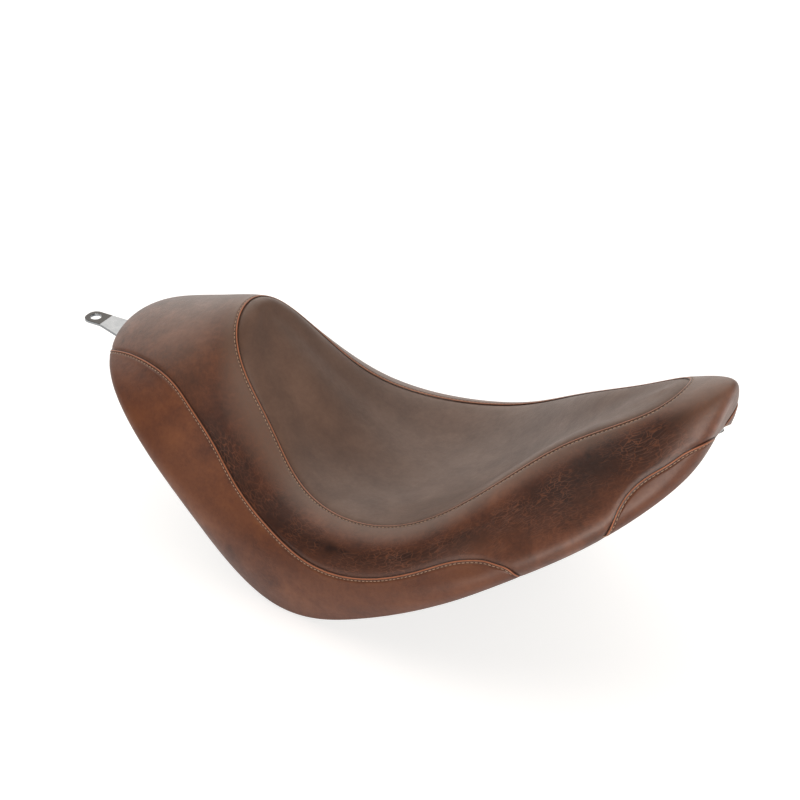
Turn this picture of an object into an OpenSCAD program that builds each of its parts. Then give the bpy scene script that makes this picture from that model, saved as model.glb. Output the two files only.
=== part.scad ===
// Solo motorcycle seat: a leather cover sewn from six panels over a moulded foam cushion and pan.
// Millimetres. +X points to the nose, +Y to the rider's left, +Z up. The seat stands on its side rims.

/* [Cover] */
// Thickness of the leather
leather = 1.8; // [1.4:0.1:2.2]
// Gap between two sewn panels, as a share of one rail spacing
seam_gap = 0.01; // [0.005:0.005:0.02]
// Thickness of the sewing thread
thread = 1.0; // [0.8:0.1:1.4]
// Thickness of the pull strip under the rim
hem = 2; // [1.6:0.2:2.2]
// Number of rivets that hold the pull strip
rivet_count = 24; // [16:2:30]

/* [Pan] */
// Wall of the moulded pan
pan_wall = 4; // [3.5:0.5:4.5]
// How far the pan's edge lies inside the cover
pan_inset = 9; // [8:1:11]
// Diameter of the moulded feet that carry the bumpers
foot_d = 30; // [28:1:34]

/* [Rear tab] */
// Thickness of the steel tab
tab_t = 3; // [2.5:0.5:4]
// Width of the tab's flat end
tab_w = 24; // [22:1:28]
// Diameter of the hole for the fender screw
tab_hole_d = 13; // [8:0.5:14]
// Slope of the hidden part of the tab
tab_slope = 7.5; // [6:0.5:8]

/* [Front tongue] */
// Width of the steel tongue
tongue_w = 40; // [30:2:44]
// Length of the tongue forward of its bend
tongue_reach = 52; // [40:2:60]

/* [Bumpers] */
// Diameter of a rubber bumper
bumper_d = 25; // [20:1:26]
// Height of a rubber bumper
bumper_h = 16; // [12:1:18]

/* [Hidden] */
$fn = 48;

// The origin lies under the middle of the whole length, tab included.
middle = [28, 0, 0];

// Rails of the cover, from the rear centre to the nose centre: [x, half width, z].
spine = [[-158, 0, 232], [-148, 0, 222], [-118, 0, 194], [-68, 0, 146], [-2, 0, 108], [70, 0, 112],
         [138, 0, 150], [195, 0, 202], [242, 0, 244], [280, 0, 276], [292, 0, 286]];
seam = [[-183, 0, 256], [-172, 43, 236], [-135, 71, 187], [-78, 101, 134], [-5, 128, 116], [75, 133, 133],
        [141, 113, 175], [202, 65, 226], [254, 46, 257], [298, 34, 284], [313, 0, 298]];
shoulder = [[-262, 0, 225], [-248, 70, 206], [-202, 114, 164], [-118, 140, 109], [-20, 160, 88], [75, 166, 100],
            [150, 150, 138], [218, 104, 190], [280, 70, 240], [336, 38, 292], [361, 0, 317]];
flank = [[-342, 0, 198], [-328, 66, 187], [-278, 118, 158], [-192, 152, 104], [-60, 176, 48], [52, 181, 62],
         [145, 172, 100], [222, 144, 150], [292, 108, 198], [351, 51, 261], [359, 0, 297]];
rim = [[-348, 0, 172], [-331, 61, 167], [-284, 110, 149], [-197, 142, 87], [-68, 167, 0], [48, 174, 32],
       [140, 166, 78], [214, 141, 125], [284, 107, 173], [348, 53, 236], [351, 0, 260]];
// How far the bucket sags below a straight line from the spine to the seam
dish = [0, 2, 5, 8, 9, 8, 5, 3, 1, 0, 0];

// Rails of the pan's upper face
pan_spine = [[-210, 0, 147], [-200, 0, 142], [-165, 0, 122], [-110, 0, 90], [-30, 0, 63], [50, 0, 63],
             [120, 0, 92], [180, 0, 140], [235, 0, 188], [275, 0, 222], [290, 0, 234]];
pan_floor = [[-280, 0, 165], [-268, 40, 159], [-228, 76, 139], [-150, 100, 100], [-45, 118, 61], [52, 122, 63],
             [132, 112, 96], [200, 88, 148], [256, 56, 200], [301, 30, 237], [317, 0, 247]];
pan_side = [[-322, 0, 172], [-306, 54, 166], [-264, 96, 148], [-178, 126, 95], [-58, 146, 38], [50, 152, 48],
            [136, 144, 86], [206, 120, 134], [272, 88, 184], [327, 43, 230], [335, 0, 250]];

// Lower edge of the side band, as [station, rail] pairs: over the skirts, and over the nose skirts
skirt_seam = [[0, 4.55], [0.6, 4.55], [0.95, 4.46], [1.04, 4.1], [1.09, 3.7], [1.26, 3.24], [1.6, 2.93],
              [2.1, 2.8], [2.8, 2.8], [3.4, 2.95], [4.1, 3.17], [5.1, 3.3], [5.6, 3.24], [6, 3.29], [6.4, 3.56],
              [6.7, 3.95], [7.05, 5]];
nose_seam = [[8, 5], [8.02, 4.2], [8.12, 3.72], [8.35, 3.6], [8.65, 3.67], [9.06, 3.92], [9.35, 4.35],
             [9.6, 4.76], [9.8, 5]];
centre_seam = 2;
rim_rail = 5;
pan_rim_rail = 4;
stations = 10;
columns = 2 * stations;

// Clear gap between two layers that lie on each other
clear = 0.2;
// How far a cutting body runs past the faces it cuts
past = 1;
// How far the pull strip hangs under the rim, and how far it runs back up the pan's side, in tenths of a rail
cover_drop = 3.6;
strip_leg = 3.5;
// Room left in the foam round the pads moulded on the pan
relief = 3;

// The rear tab: where it bends and where its hidden part ends, measured along it
tab_bend = [-390, 0, 171];
tab_tip = 27;
tab_corner = 10;
tab_hole_at = 15;
tab_root = 136;
// The tab widens at this slope on each side, over this length from the bend
tab_flare = 0.177;
tab_flare_run = 60;
pad_from = 62;
pad_to = 134;
rear_pad_w = 56;
rear_pad_h = 12;
// Backing plate: its thickness, and how far it stays inside the pad's outline
plate_t = 3;
plate_inset = 4;
rear_bolt_x = [84, 118];
rear_bolt_d = 8;

// The tongue's flange lies on a flat pad that follows the pan's front slope.
front_pad = [206, 0, 160];
front_slope = 41;
front_pad_l = 56;
front_pad_low = -10;
front_pad_high = 4;
flange_half = 22;
tongue_t = 3;
rivet_d = 5;

// Bumper feet: [x, y, height of the foot's lower face]
bumper_front = [118, 84, 74];
bumper_mid = [-28, 92, 46];
bumper_rear = [-196, 56, 112];
screw_d = 5;
screw_grip = 9;
head_h = 3.2;
head_d = 10;
bore_clear = 0.4;
// Depth that the screw heads are sunk into the rubber
head_sink = 6;
// Height over which a foot is joined to the pan
foot_reach = 40;

leather_brown = [0.42, 0.22, 0.13];
leather_dark = [0.33, 0.2, 0.15];
leather_tan = [0.55, 0.3, 0.17];
thread_tan = [0.72, 0.42, 0.24];
steel = [0.78, 0.79, 0.8];
rubber = [0.08, 0.08, 0.08];
shell_black = [0.13, 0.13, 0.14];
foam_grey = [0.75, 0.74, 0.68];

// ---- The surfaces: uniform cubic splines that pass close to their rails ----

function mirror_y(p) = [p[0], -p[1], p[2]];
// One rail as a closed ring of points: the left side forward, then the right side back
function ring(rail) = [for (i = [0:columns - 1]) i <= stations ? rail[i] : mirror_y(rail[columns - i])];
// Moves the control points out, so that the smoothed surface returns to the rail
function sharpen(before, at, after) = at - (before - 2 * at + after) / 6;
function sharpen_ring(r) =
    [for (i = [0:columns - 1]) sharpen(r[(i + columns - 1) % columns], r[i], r[(i + 1) % columns])];
function flip_row(row) = [for (p = row) mirror_y(p)];
function beyond(last, previous) = [for (i = [0:columns - 1]) 2 * last[i] - previous[i]];
function with_ends(rows) =
    let (n = len(rows))
    concat([flip_row(rows[1])], rows, [beyond(rows[n - 1], rows[n - 2])]);
function net(rails) =
    let (padded = with_ends([for (r = rails) sharpen_ring(ring(r))]))
    with_ends([for (k = [1:len(padded) - 2])
        [for (i = [0:columns - 1]) sharpen(padded[k - 1][i], padded[k][i], padded[k + 1][i])]]);

function weights(f) = [pow(1 - f, 3), 3 * pow(f, 3) - 6 * f * f + 4,
                       -3 * pow(f, 3) + 3 * f * f + 3 * f + 1, pow(f, 3)] / 6;
function wrapped(t) = (t + columns) % columns;
function at(mesh, t, v) =
    let (i = floor(wrapped(t)), k = min(max(floor(v), 0), len(mesh) - 4),
         wt = weights(wrapped(t) - i), wv = weights(v - k))
    wv * [for (m = [0:3]) wt * [for (j = [0:3]) mesh[k + m][(i + j + columns - 1) % columns]]];
// The ends of the spine fold over themselves, so a normal is never taken exactly on the spine.
function normal(mesh, t, v) =
    let (e = 0.02, w = max(v, 2 * e),
         n = cross(at(mesh, t + e, w) - at(mesh, t - e, w), at(mesh, t, w + e) - at(mesh, t, w - e)))
    n / norm(n);
// A point of the surface, moved inwards by depth
function under(mesh, t, v, depth) = at(mesh, t, v) - depth * normal(mesh, t, v) + middle;

function midway(a, b, sag) = [for (i = [0:stations]) (a[i] + b[i]) / 2 - [0, 0, sag[i]]];
function no_sag() = [for (i = [0:stations]) 0];
// The rim moved inwards in plan
function inset(rail, d) =
    let (r = ring(rail))
    [for (i = [0:stations])
        let (along = r[i + 1] - r[(i + columns - 1) % columns], out = [-along[1], along[0], 0])
        r[i] + d * [along[1], -along[0], 0] / norm(out)];

cover = net([spine, midway(spine, seam, dish), seam, shoulder, flank, rim]);
pan = net([pan_spine, midway(pan_spine, pan_floor, no_sag()), pan_floor, pan_side, inset(rim, pan_inset)]);

// A path of [station, rail] points with no step longer than a third of a station
function refined(path) =
    concat([for (i = [0:len(path) - 2])
        let (n = ceil((path[i + 1][0] - path[i][0]) * 3 + 0.001))
        each [for (k = [0:n - 1]) path[i] + (path[i + 1] - path[i]) * k / n]], [path[len(path) - 1]]);
function on_rail(path, v) = [for (p = path) [p[0], v]];
function lowered(path, dv) = [for (p = path) p + [0, dv]];
// The side band's lower edge on the left side, then back along the right side to the start
band_left = refined(concat(skirt_seam, nose_seam, [[stations, rim_rail]]));
band_edge = concat(band_left, [for (i = [len(band_left) - 2:-1:1])
    [columns - band_left[i][0], band_left[i][1]]]);

// ---- Closed grids of points ----

// Faces of a grid of rows and columns, both turned round; closed joins the last column to the first
function grid_faces(rows, cols, closed, index) =
    [for (j = [0:rows - 2], i = [0:cols - (closed ? 1 : 2)])
        let (n = (i + 1) % cols, a = index(j, i), b = index(j, n), c = index(j + 1, n), d = index(j + 1, i))
        each [[a, b, c], [a, c, d]]];
function real_faces(faces) = [for (f = faces) if (f[0] != f[1] && f[1] != f[2] && f[2] != f[0]) f];
function turned(faces) = [for (f = faces) [f[2], f[1], f[0]]];

// A solid between two stacks of rings that both start on the centre line
module lens(upper, lower) {
    rows = len(upper);
    low_rows = len(lower);
    cols = len(upper[0]);
    fold = function(j, i) j == 0 && i > cols / 2 ? cols - i : i;
    up = function(j, i) j * cols + fold(j, i);
    down = function(j, i) (rows + j) * cols + fold(j, i);
    edge = function(j, i) j == 0 ? up(rows - 1, i) : down(low_rows - 1, i);
    faces = concat(grid_faces(rows, cols, true, up),
                   turned(grid_faces(low_rows, cols, true, down)),
                   grid_faces(2, cols, true, edge));
    polyhedron([for (r = concat(upper, lower)) each r], turned(real_faces(faces)));
}

// A solid swept through closed loops of an even number of points. A ring of loops is closed, and a
// row gets a cap on each end.
module sweep(loops, closed) {
    rows = len(loops);
    cols = len(loops[0]);
    index = function(j, i) (j % rows) * cols + i;
    walls = grid_faces(closed ? rows + 1 : rows, cols, true, index);
    cap = [for (i = [0:cols / 2 - 2]) each [[i, cols - 2 - i, i + 1], [i, cols - 1 - i, cols - 2 - i]]];
    far_cap = [for (f = turned(cap)) f + (rows - 1) * cols * [1, 1, 1]];
    polyhedron([for (l = loops) each l], concat(walls, closed ? [] : concat(cap, far_cap)));
}

// A leather panel between two paths of [station, rail] points
module panel(high, low, cells, closed = false) {
    layer = function(i, k, depth)
        let (p = high[i] + (low[i] - high[i]) * k / cells) under(cover, p[0], p[1], depth);
    sweep([for (i = [0:len(high) - 1])
        concat([for (k = [0:cells]) layer(i, k, 0)], [for (k = [cells:-1:0]) layer(i, k, leather)])], closed);
}

// A thread along a line of [station, rail] points
module thread_along(points, closed) {
    n = len(points);
    r = thread / 2;
    sweep([for (i = [0:n - 1])
        let (p = points[i],
             before = points[closed ? (i + n - 1) % n : max(i - 1, 0)],
             after = points[closed ? (i + 1) % n : min(i + 1, n - 1)],
             along = at(cover, after[0], after[1]) - at(cover, before[0], before[1]),
             up = normal(cover, p[0], p[1]),
             across = cross(up, along) / norm(cross(up, along)),
             c = under(cover, p[0], p[1], -r - 0.1))
        [c + r * across, c - r * up, c - r * across, c + r * up]], closed);
}

// ---- Cushion, pan and cover ----

rings_round = 60;
function shifted(points, by) = [for (p = points) p + by];
function ring_at(mesh, v, depth) =
    [for (i = [0:rings_round - 1]) under(mesh, i * columns / rings_round, v, depth)];

module foam_cushion() {
    color(foam_grey)
    difference() {
        lens([for (k = [0:10]) ring_at(cover, k * 0.49, leather + clear)],
             [for (k = [0:8]) ring_at(pan, k * 0.5, -clear)]);
        rear_frame()
            translate([pad_from - relief, -rear_pad_w / 2 - relief, 0])
                cube([pad_to - pad_from + 2 * relief, rear_pad_w + 2 * relief, rear_pad_h + plate_t + 15]);
        front_frame()
            translate([-front_pad_l / 2 - relief, -front_pad_l / 2 - relief, -2 * relief])
                cube([front_pad_l + 2 * relief, front_pad_l + 2 * relief, front_pad_high + 4 * relief]);
    }
}

module base_pan() {
    color(shell_black)
    difference() {
        union() {
            lens([for (k = [0:8]) ring_at(pan, k * 0.5, 0)],
                 [for (k = [0:8]) ring_at(pan, k * 0.5, pan_wall)]);
            rear_frame()
                translate([pad_from, -rear_pad_w / 2, 0])
                    cube([pad_to - pad_from, rear_pad_w, rear_pad_h]);
            front_frame()
                translate([-front_pad_l / 2, -front_pad_l / 2, front_pad_low])
                    cube([front_pad_l, front_pad_l, front_pad_high - front_pad_low]);
            intersection() {
                all_feet();
                lens([for (k = [0:8]) ring_at(pan, k * 0.48, pan_wall / 2)],
                     [for (k = [0:8]) shifted(ring_at(pan, k * 0.48, pan_wall / 2), [0, 0, -foot_reach])]);
            }
        }
        rear_frame()
            for (x = rear_bolt_x)
                translate([x, 0, -past])
                    cylinder(d = rear_bolt_d + bore_clear, h = rear_pad_h + 2 * past);
        front_frame() tongue_holes();
        for (f = feet())
            translate(f + middle + [0, 0, -1])
                cylinder(d = screw_d, h = screw_grip + 1.4);
        rivet_shanks(rivet_hole_d);
    }
}

module centre_panel() {
    color(leather_dark)
    lens([for (k = [0:5]) ring_at(cover, (centre_seam - seam_gap) * k / 5, 0)],
         [for (k = [0:5]) ring_at(cover, (centre_seam - seam_gap) * k / 5, leather)]);
}

module side_band() {
    color(leather_brown)
    panel(on_rail(band_edge, centre_seam + seam_gap), lowered(band_edge, -seam_gap), 4, true);
}

module left_skirt() {
    edge = [for (p = refined(skirt_seam)) if (p[1] < rim_rail - 2 * seam_gap)
        [max(p[0], 0.01), p[1] + seam_gap]];
    color(leather_tan)
    panel(edge, on_rail(edge, rim_rail), 4);
}

module left_nose_skirt() {
    edge = [for (p = refined(nose_seam)) if (p[1] < rim_rail - 0.1) [p[0], p[1] + seam_gap]];
    color(leather_tan)
    panel(edge, on_rail(edge, rim_rail), 4);
}

module skirt_left() { left_skirt(); }
module skirt_right() { mirror([0, 1, 0]) left_skirt(); }
module nose_skirt_left() { left_nose_skirt(); }
module nose_skirt_right() { mirror([0, 1, 0]) left_nose_skirt(); }

// ---- Stitching ----

stitch_offset = 0.07;

module centre_stitching() {
    color(thread_tan)
    thread_along([for (i = [0:79]) [i * columns / 80, centre_seam + stitch_offset]], true);
}

module left_skirt_stitching() {
    color(thread_tan)
    thread_along([for (p = skirt_seam) if (p[1] < 4.6) [max(p[0], 0.03), p[1] + stitch_offset]], false);
}

module left_nose_stitching() {
    color(thread_tan)
    thread_along([for (p = nose_seam) if (p[1] < 4.7) [p[0] + 0.03, p[1] + stitch_offset]], false);
}

module skirt_stitching_left() { left_skirt_stitching(); }
module skirt_stitching_right() { mirror([0, 1, 0]) left_skirt_stitching(); }
module nose_stitching_left() { left_nose_stitching(); }
module nose_stitching_right() { mirror([0, 1, 0]) left_nose_stitching(); }

// ---- Pull strip and its rivets ----

rivet_hole_d = 3.6;
rivet_shank_d = 3.2;
rivet_rail = 3.72;
rivet_head_d = 8;
rivet_head_h = 1.4;
// The rivets stay clear of the steel tab at the rear centre.
rivet_stations = [for (i = [0:rivet_count - 1]) (i + 0.5) * columns / rivet_count];

module hem_strip() {
    down = [0, 0, -1];
    color(rubber)
    difference() {
        sweep([for (i = [0:rings_round - 1])
            let (t = i * columns / rings_round,
                 top = pan_rim_rail - strip_leg / 10)
            [under(cover, t, rim_rail, 0) + 0.3 * down,
             under(cover, t, rim_rail, 1) + cover_drop * down,
             under(pan, t, pan_rim_rail, pan_wall + hem) + cover_drop * down,
             under(pan, t, top, pan_wall + clear + hem),
             under(pan, t, top, pan_wall + clear),
             under(pan, t, pan_rim_rail, pan_wall + clear) + 1.2 * down]], true);
        rivet_shanks(rivet_hole_d);
    }
}

// Turns Z onto a direction and places it
module aim(p, d) {
    translate(p)
        rotate([0, acos(d[2] / norm(d)), atan2(d[1], d[0])])
            children();
}

module rivet_shanks(d) {
    for (t = rivet_stations)
        aim(under(pan, t, rivet_rail, pan_wall + hem + clear + 0.01), normal(pan, t, rivet_rail))
            cylinder(d = d, h = pan_wall + hem + clear);
}

module hem_rivets() {
    color(steel)
    for (t = rivet_stations)
        aim(under(pan, t, rivet_rail, pan_wall + hem + clear + 0.3), normal(pan, t, rivet_rail)) {
            cylinder(d = rivet_shank_d, h = pan_wall + hem + clear);
            translate([0, 0, -rivet_head_h])
                cylinder(d1 = rivet_head_d - 3, d2 = rivet_head_d, h = rivet_head_h);
        }
}

// ---- Rear tab ----

// X runs forward along the sloping part from the bend, Z = 0 is its upper face.
module rear_frame() {
    translate(tab_bend + middle)
        rotate([0, tab_slope, 0])
            children();
}

module side_profile(points, width) {
    translate([0, width / 2, 0])
        rotate([90, 0, 0])
            linear_extrude(width)
                polygon(points);
}

module rear_tab() {
    root_w = tab_w + 2 * tab_flare * tab_flare_run;
    flare_x = tab_flare_run * cos(tab_slope);
    root_x = tab_root * cos(tab_slope);
    fall = tab_root * sin(tab_slope);
    color(steel)
    difference() {
        translate(tab_bend + middle)
            intersection() {
                side_profile([[-tab_tip - 2, 0], [0, 0], [root_x + 2, -fall - 2 * tan(tab_slope)],
                              [root_x + 2, -fall - 2 * tan(tab_slope) - tab_t / cos(tab_slope)],
                              [-tab_t * tan(tab_slope / 2), -tab_t], [-tab_tip - 2, -tab_t]], 2 * root_w);
                translate([0, 0, -fall - 2 * tab_t])
                    linear_extrude(fall + 3 * tab_t)
                        polygon([for (a = [180:15:270]) [tab_corner - tab_tip, tab_corner - tab_w / 2]
                                     + tab_corner * [cos(a), sin(a)],
                                 [0, -tab_w / 2], [flare_x, -root_w / 2], [root_x, -root_w / 2],
                                 [root_x, root_w / 2], [flare_x, root_w / 2], [0, tab_w / 2],
                                 for (a = [90:15:180]) [tab_corner - tab_tip, tab_w / 2 - tab_corner]
                                     + tab_corner * [cos(a), sin(a)]]);
            }
        translate(tab_bend + middle + [-tab_hole_at, 0, -tab_t - past])
            cylinder(d = tab_hole_d, h = tab_t + 2 * past);
        rear_frame()
            for (x = rear_bolt_x)
                translate([x, 0, -tab_t - past])
                    cylinder(d = rear_bolt_d + bore_clear, h = tab_t + 2 * past);
    }
}

module rear_backing_plate() {
    color(steel)
    rear_frame()
        difference() {
            translate([pad_from + plate_inset, plate_inset - rear_pad_w / 2, rear_pad_h + clear / 2])
                cube([pad_to - pad_from - 2 * plate_inset, rear_pad_w - 2 * plate_inset, plate_t]);
            for (x = rear_bolt_x)
                translate([x, 0, rear_pad_h - past])
                    cylinder(d = rear_bolt_d + bore_clear, h = plate_t + 2 * past);
        }
}

nut_h = 7;
nut_d = 15;
washer_t = 1.6;
washer_d = 18;
button_h = 4.4;
button_d = 14;

module rear_bolts() {
    stack = tab_t + rear_pad_h + plate_t + washer_t + nut_h + 1.5;
    color(steel)
    rear_frame()
        for (x = rear_bolt_x)
            translate([x, 0, -tab_t]) {
                cylinder(d = rear_bolt_d - 0.2, h = stack);
                translate([0, 0, -button_h - 0.05])
                    cylinder(d1 = button_d * 0.6, d2 = button_d, h = button_h);
                translate([0, 0, -0.06]) cylinder(d = rear_bolt_d - 0.2, h = 1);
            }
}

module rear_washers() {
    color(steel)
    rear_frame()
        for (x = rear_bolt_x)
            translate([x, 0, rear_pad_h + plate_t + 0.15])
                difference() {
                    cylinder(d = washer_d, h = washer_t - 0.1);
                    translate([0, 0, -past]) cylinder(d = rear_bolt_d + bore_clear, h = washer_t + 2 * past);
                }
}

module rear_nuts() {
    color(steel)
    rear_frame()
        for (x = rear_bolt_x)
            translate([x, 0, rear_pad_h + plate_t + washer_t + 0.1])
                difference() {
                    cylinder(d = nut_d, h = nut_h, $fn = 6);
                    translate([0, 0, -past]) cylinder(d = rear_bolt_d, h = nut_h + 2 * past);
                }
}

// ---- Front tongue ----

// X runs up the pan's front slope, Z = 0 is the pan's upper face.
module front_frame() {
    translate(front_pad + middle)
        rotate([0, -front_slope, 0])
            children();
}

tongue_rivets_at = [for (x = [-13, 9], y = [-12, 12]) [x, y]];

module tongue_holes() {
    for (p = tongue_rivets_at)
        translate([p[0], p[1], front_pad_low - tongue_t - 2])
            cylinder(d = rivet_d + bore_clear, h = front_pad_high - front_pad_low + tongue_t + 4);
}

// The flange follows the slope, then the sheet bends level and runs forward to a rounded tip.
module front_tongue() {
    low = front_pad_low - clear / 2;
    run = flange_half * cos(front_slope);
    rise = flange_half * sin(front_slope);
    bend = [front_pad[0] + run - low * sin(front_slope), 0, front_pad[2] + rise + low * cos(front_slope)];
    round_at = tongue_reach - tongue_w / 2;
    color(steel)
    difference() {
        translate(bend + middle)
            intersection() {
                side_profile([[0, 0], [-2 * run, -2 * rise],
                              [tongue_t * sin(front_slope) - 2 * run, -tongue_t * cos(front_slope) - 2 * rise],
                              [tongue_t * tan(front_slope / 2), -tongue_t], [tongue_reach + 2, -tongue_t],
                              [tongue_reach + 2, 0]], 2 * tongue_w);
                translate([0, 0, -2 * rise - 2 * tongue_t])
                    linear_extrude(2 * rise + 3 * tongue_t)
                        polygon([[-3 * run, -tongue_w / 2],
                                 for (a = [-90:7.5:90]) [round_at, 0] + tongue_w / 2 * [cos(a), sin(a)],
                                 [-3 * run, tongue_w / 2]]);
            }
        front_frame() tongue_holes();
    }
}

module tongue_rivets() {
    low = front_pad_low - clear / 2 - tongue_t;
    high = front_pad_high;
    color(steel)
    front_frame()
        for (p = tongue_rivets_at)
            translate([p[0], p[1], 0]) {
                translate([0, 0, low - 1]) cylinder(d = rivet_d, h = high - low + 2);
                translate([0, 0, low - 2.1]) cylinder(d1 = rivet_d + 1, d2 = rivet_d + 4, h = 2);
                translate([0, 0, high + 0.1]) cylinder(d1 = rivet_d + 4, d2 = rivet_d + 1, h = 2);
            }
}

// ---- Bumpers ----

function left_and_right(p) = [p, mirror_y(p)];
function feet() = [for (p = [bumper_front, bumper_mid, bumper_rear]) each left_and_right(p)];

module all_feet() {
    for (f = feet())
        translate(f + middle)
            cylinder(d = foot_d, h = foot_reach);
}

// Placed by the centre of its upper face
module bumper(p) {
    color(rubber)
    translate(p + middle + [0, 0, -clear / 2])
        rotate([180, 0, 0])
            difference() {
                rotate_extrude()
                    polygon([[0, 0], [bumper_d / 2, 0], [bumper_d / 2, bumper_h - 3],
                             [bumper_d / 2 - 2, bumper_h], [0, bumper_h]]);
                translate([0, 0, -past]) cylinder(d = screw_d + bore_clear, h = bumper_h + 2 * past);
                translate([0, 0, bumper_h - head_sink]) cylinder(d = head_d + 1, h = head_sink + past);
            }
}

module bumper_front_left() { bumper(bumper_front); }
module bumper_front_right() { bumper(mirror_y(bumper_front)); }
module bumper_mid_left() { bumper(bumper_mid); }
module bumper_mid_right() { bumper(mirror_y(bumper_mid)); }
module bumper_rear_left() { bumper(bumper_rear); }
module bumper_rear_right() { bumper(mirror_y(bumper_rear)); }

module bumper_screws() {
    seat = bumper_h - head_sink;
    color(steel)
    for (f = feet())
        translate(f + middle + [0, 0, -clear / 2]) {
            translate([0, 0, -seat - 0.1]) cylinder(d = screw_d - 0.1, h = seat + screw_grip);
            translate([0, 0, -seat - 0.1 - head_h]) cylinder(d1 = head_d - 2, d2 = head_d, h = head_h);
        }
}

base_pan();
foam_cushion();
centre_panel();
side_band();
skirt_left();
skirt_right();
nose_skirt_left();
nose_skirt_right();
centre_stitching();
skirt_stitching_left();
skirt_stitching_right();
nose_stitching_left();
nose_stitching_right();
hem_strip();
hem_rivets();
rear_tab();
rear_backing_plate();
rear_bolts();
rear_washers();
rear_nuts();
front_tongue();
tongue_rivets();
bumper_front_left();
bumper_front_right();
bumper_mid_left();
bumper_mid_right();
bumper_rear_left();
bumper_rear_right();
bumper_screws();
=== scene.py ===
"""Solo motorcycle seat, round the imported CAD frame: sewn leather cover, thread, foam, pan and fittings.

Lengths are metres, but rails, seam profiles and names that end in _mm or _MM are millimetres. The cover is
a spline surface over six rails, addressed by (t, v). t runs round the seat, from 0 at the rear centre to 10
at the nose centre and on to 20. v runs from 0 at the spine to 5 at the rim.
"""

import math

import bmesh
import bpy
import numpy as np
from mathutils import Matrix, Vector
from mathutils.bvhtree import BVHTree
from mathutils.kdtree import KDTree


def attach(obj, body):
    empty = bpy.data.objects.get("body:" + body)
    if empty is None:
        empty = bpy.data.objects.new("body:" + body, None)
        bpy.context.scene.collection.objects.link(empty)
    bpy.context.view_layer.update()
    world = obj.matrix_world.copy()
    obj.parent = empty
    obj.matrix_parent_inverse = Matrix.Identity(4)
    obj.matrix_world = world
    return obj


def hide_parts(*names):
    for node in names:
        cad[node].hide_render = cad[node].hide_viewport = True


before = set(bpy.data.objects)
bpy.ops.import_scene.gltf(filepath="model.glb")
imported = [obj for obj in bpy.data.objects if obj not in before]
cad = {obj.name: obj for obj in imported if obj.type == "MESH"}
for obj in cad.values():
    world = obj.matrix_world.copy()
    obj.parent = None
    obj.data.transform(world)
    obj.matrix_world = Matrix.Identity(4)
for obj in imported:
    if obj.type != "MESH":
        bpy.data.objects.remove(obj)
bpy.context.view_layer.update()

MM = 0.001
# The rails' zero in the frame
MIDDLE_MM = np.array([28.0, 0.0, 0.0])

# ---- The surfaces, from the CAD's rails: [x, half width, z] in mm, rear centre to nose centre ----

SPINE = [[-158, 0, 232], [-148, 0, 222], [-118, 0, 194], [-68, 0, 146], [-2, 0, 108], [70, 0, 112],
         [138, 0, 150], [195, 0, 202], [242, 0, 244], [280, 0, 276], [292, 0, 286]]
SEAM = [[-183, 0, 256], [-172, 43, 236], [-135, 71, 187], [-78, 101, 134], [-5, 128, 116], [75, 133, 133],
        [141, 113, 175], [202, 65, 226], [254, 46, 257], [298, 34, 284], [313, 0, 298]]
SHOULDER = [[-262, 0, 225], [-248, 70, 206], [-202, 114, 164], [-118, 140, 109], [-20, 160, 88],
            [75, 166, 100], [150, 150, 138], [218, 104, 190], [280, 70, 240], [336, 38, 292], [361, 0, 317]]
FLANK = [[-342, 0, 198], [-328, 66, 187], [-278, 118, 158], [-192, 152, 104], [-60, 176, 48], [52, 181, 62],
         [145, 172, 100], [222, 144, 150], [292, 108, 198], [351, 51, 261], [359, 0, 297]]
RIM = [[-348, 0, 172], [-331, 61, 167], [-284, 110, 149], [-197, 142, 87], [-68, 167, 0], [48, 174, 32],
       [140, 166, 78], [214, 141, 125], [284, 107, 173], [348, 53, 236], [351, 0, 260]]
# How far the bucket sags below a straight line from the spine to the seam
DISH = [0, 2, 5, 8, 9, 8, 5, 3, 1, 0, 0]
PAN_SPINE = [[-210, 0, 147], [-200, 0, 142], [-165, 0, 122], [-110, 0, 90], [-30, 0, 63], [50, 0, 63],
             [120, 0, 92], [180, 0, 140], [235, 0, 188], [275, 0, 222], [290, 0, 234]]
PAN_FLOOR = [[-280, 0, 165], [-268, 40, 159], [-228, 76, 139], [-150, 100, 100], [-45, 118, 61],
             [52, 122, 63], [132, 112, 96], [200, 88, 148], [256, 56, 200], [301, 30, 237], [317, 0, 247]]
PAN_SIDE = [[-322, 0, 172], [-306, 54, 166], [-264, 96, 148], [-178, 126, 95], [-58, 146, 38], [50, 152, 48],
            [136, 144, 86], [206, 120, 134], [272, 88, 184], [327, 43, 230], [335, 0, 250]]
# Seams as (t, v). The skirt seam was moved a few millimetres after the CAD was made.
SKIRT_SEAM = [[-0.6, 4.55], [0, 4.55], [0.6, 4.55], [0.97, 4.45], [1.04, 4.1], [1.08, 3.72], [1.24, 3.28],
              [1.58, 2.97], [1.97, 2.86], [2.4, 2.82], [3.03, 2.94], [3.6, 3.1], [4.2, 3.31], [4.65, 3.36],
              [5.1, 3.3], [5.6, 3.21], [6.03, 3.25], [6.25, 3.38], [6.45, 3.56], [6.65, 3.82], [6.83, 4.15],
              [7.03, 5]]
NOSE_SEAM = [[8.01, 5], [8.02, 4.2], [8.12, 3.72], [8.35, 3.6], [8.65, 3.67], [9.06, 3.92], [9.35, 4.35],
             [9.6, 4.76], [9.8, 5]]
CENTRE_V, RIM_V, PAN_RIM_V = 2.0, 5.0, 4.0
# The centre seam bows inwards on the face of the rear bolster: how far in v, where in t and how widely
BOW_V, BOW_T, BOW_WIDTH = 0.12, 2.5, 0.7
# Stations from the rear to the nose, and all the way round
HALF, ROUND = 10, 20
PAN_INSET_MM = 9


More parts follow.
